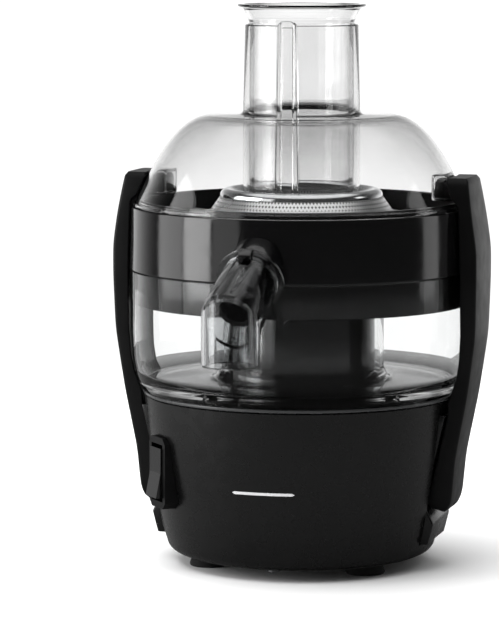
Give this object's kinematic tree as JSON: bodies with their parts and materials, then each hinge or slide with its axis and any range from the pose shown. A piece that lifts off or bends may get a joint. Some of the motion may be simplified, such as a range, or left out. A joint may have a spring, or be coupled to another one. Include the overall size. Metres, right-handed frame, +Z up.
{
  "type": "centrifugal juicer",
  "caption": "Countertop centrifugal juicer with clear domed lid and feed tube, inverted steel mesh basket, juice collector with elbow spout, ring-shaped pulp container and side clamps.",
  "frame": {"origin": "centre of the overall footprint on the surface that the feet stand on; the drive axis stands 30.25 mm behind it", "axes": "+Z up along the drive axis, -Y towards the juice spout, the two clamps on +X and -X"},
  "size_m": [0.191, 0.2356, 0.2854],
  "materials": {
    "gloss_black_plastic": "high gloss black moulding",
    "satin_black_plastic": "satin black moulding with fine spark texture",
    "matte_black_plastic": "matte black moulding",
    "grey_trim": "light grey gloss trim",
    "clear_plastic": "clear polished plastic",
    "smoke_plastic": "smoky clear polished plastic",
    "stainless_steel": "bright stainless, finely perforated on the cone",
    "bare_steel": "plain steel",
    "copper_winding": "enamelled copper wire",
    "black_rubber": "matte rubber"
  },
  "bodies": {
    "base": {"base_shell": "gloss_black_plastic", "upper_housing": "satin_black_plastic", "drive_tower": "satin_black_plastic", "trim_ring": "grey_trim", "bottom_cover": "matte_black_plastic", "foot_front_right": "black_rubber", "foot_front_left": "black_rubber", "foot_rear_right": "black_rubber", "foot_rear_left": "black_rubber", "bottom_screw_1": "bare_steel", "bottom_screw_2": "bare_steel", "bottom_screw_3": "bare_steel", "bottom_screw_4": "bare_steel", "cord_gland": "black_rubber", "switch_housing": "satin_black_plastic", "clamp_bracket_right": "gloss_black_plastic", "clamp_pin_right": "bare_steel", "clamp_bracket_left": "gloss_black_plastic", "clamp_pin_left": "bare_steel", "pulp_container": "clear_plastic", "juice_collector": "gloss_black_plastic", "lid": "clear_plastic", "stator_core": "bare_steel", "field_coil_right": "copper_winding", "field_coil_left": "copper_winding", "upper_bearing": "bare_steel", "lower_bearing": "bare_steel", "upper_bearing_bracket": "bare_steel", "lower_bearing_bracket": "bare_steel", "brush_holder_rear": "matte_black_plastic", "brush_holder_front": "matte_black_plastic", "motor_tray": "bare_steel", "motor_damper_front_right": "black_rubber", "motor_damper_front_left": "black_rubber", "motor_damper_rear_right": "black_rubber", "motor_damper_rear_left": "black_rubber", "shaft_seal": "black_rubber", "interlock_switch": "matte_black_plastic"},
    "rotor": {"motor_shaft": "bare_steel", "armature_core": "bare_steel", "armature_winding_upper": "copper_winding", "armature_winding_lower": "copper_winding", "commutator": "copper_winding", "cooling_fan": "matte_black_plastic", "drive_coupling": "matte_black_plastic", "filter_base": "matte_black_plastic", "filter_mesh": "stainless_steel", "filter_rim": "stainless_steel", "grater_disc": "stainless_steel"},
    "clamp_right": {"clamp_arm_right": "satin_black_plastic"},
    "clamp_left": {"clamp_arm_left": "satin_black_plastic"},
    "pusher": {"pusher": "clear_plastic"},
    "spout": {"spout": "smoke_plastic"},
    "rocker": {"power_rocker": "gloss_black_plastic"}
  },
  "joints": [
    {"name": "rotor_spin", "type": "hinge", "parent": "base", "child": "rotor", "pos_m": [0, 0.03025, 0], "axis": [0, 0, 1], "continuous": true},
    {"name": "clamp_right_swing", "type": "hinge", "parent": "base", "child": "clamp_right", "pos_m": [0.0763, 0.03025, 0.037], "axis": [0, 1, 0], "range_deg": [0, 35]},
    {"name": "clamp_left_swing", "type": "hinge", "parent": "base", "child": "clamp_left", "pos_m": [-0.0763, 0.03025, 0.037], "axis": [0, -1, 0], "range_deg": [0, 35]},
    {"name": "pusher_slide", "type": "slide", "parent": "base", "child": "pusher", "axis": [0, 0, 1], "range_m": [0, 0.11]},
    {"name": "spout_twist", "type": "hinge", "parent": "base", "child": "spout", "pos_m": [0, -0.06687, 0.15541], "axis": [0, -0.9063, -0.4226], "range_deg": [0, 45]},
    {"name": "power_rocker_press", "type": "hinge", "parent": "base", "child": "rocker", "pos_m": [-0.06171, -0.02153, 0.0506], "axis": [0.6428, -0.766, 0], "range_deg": [0, 12]}
  ]
}
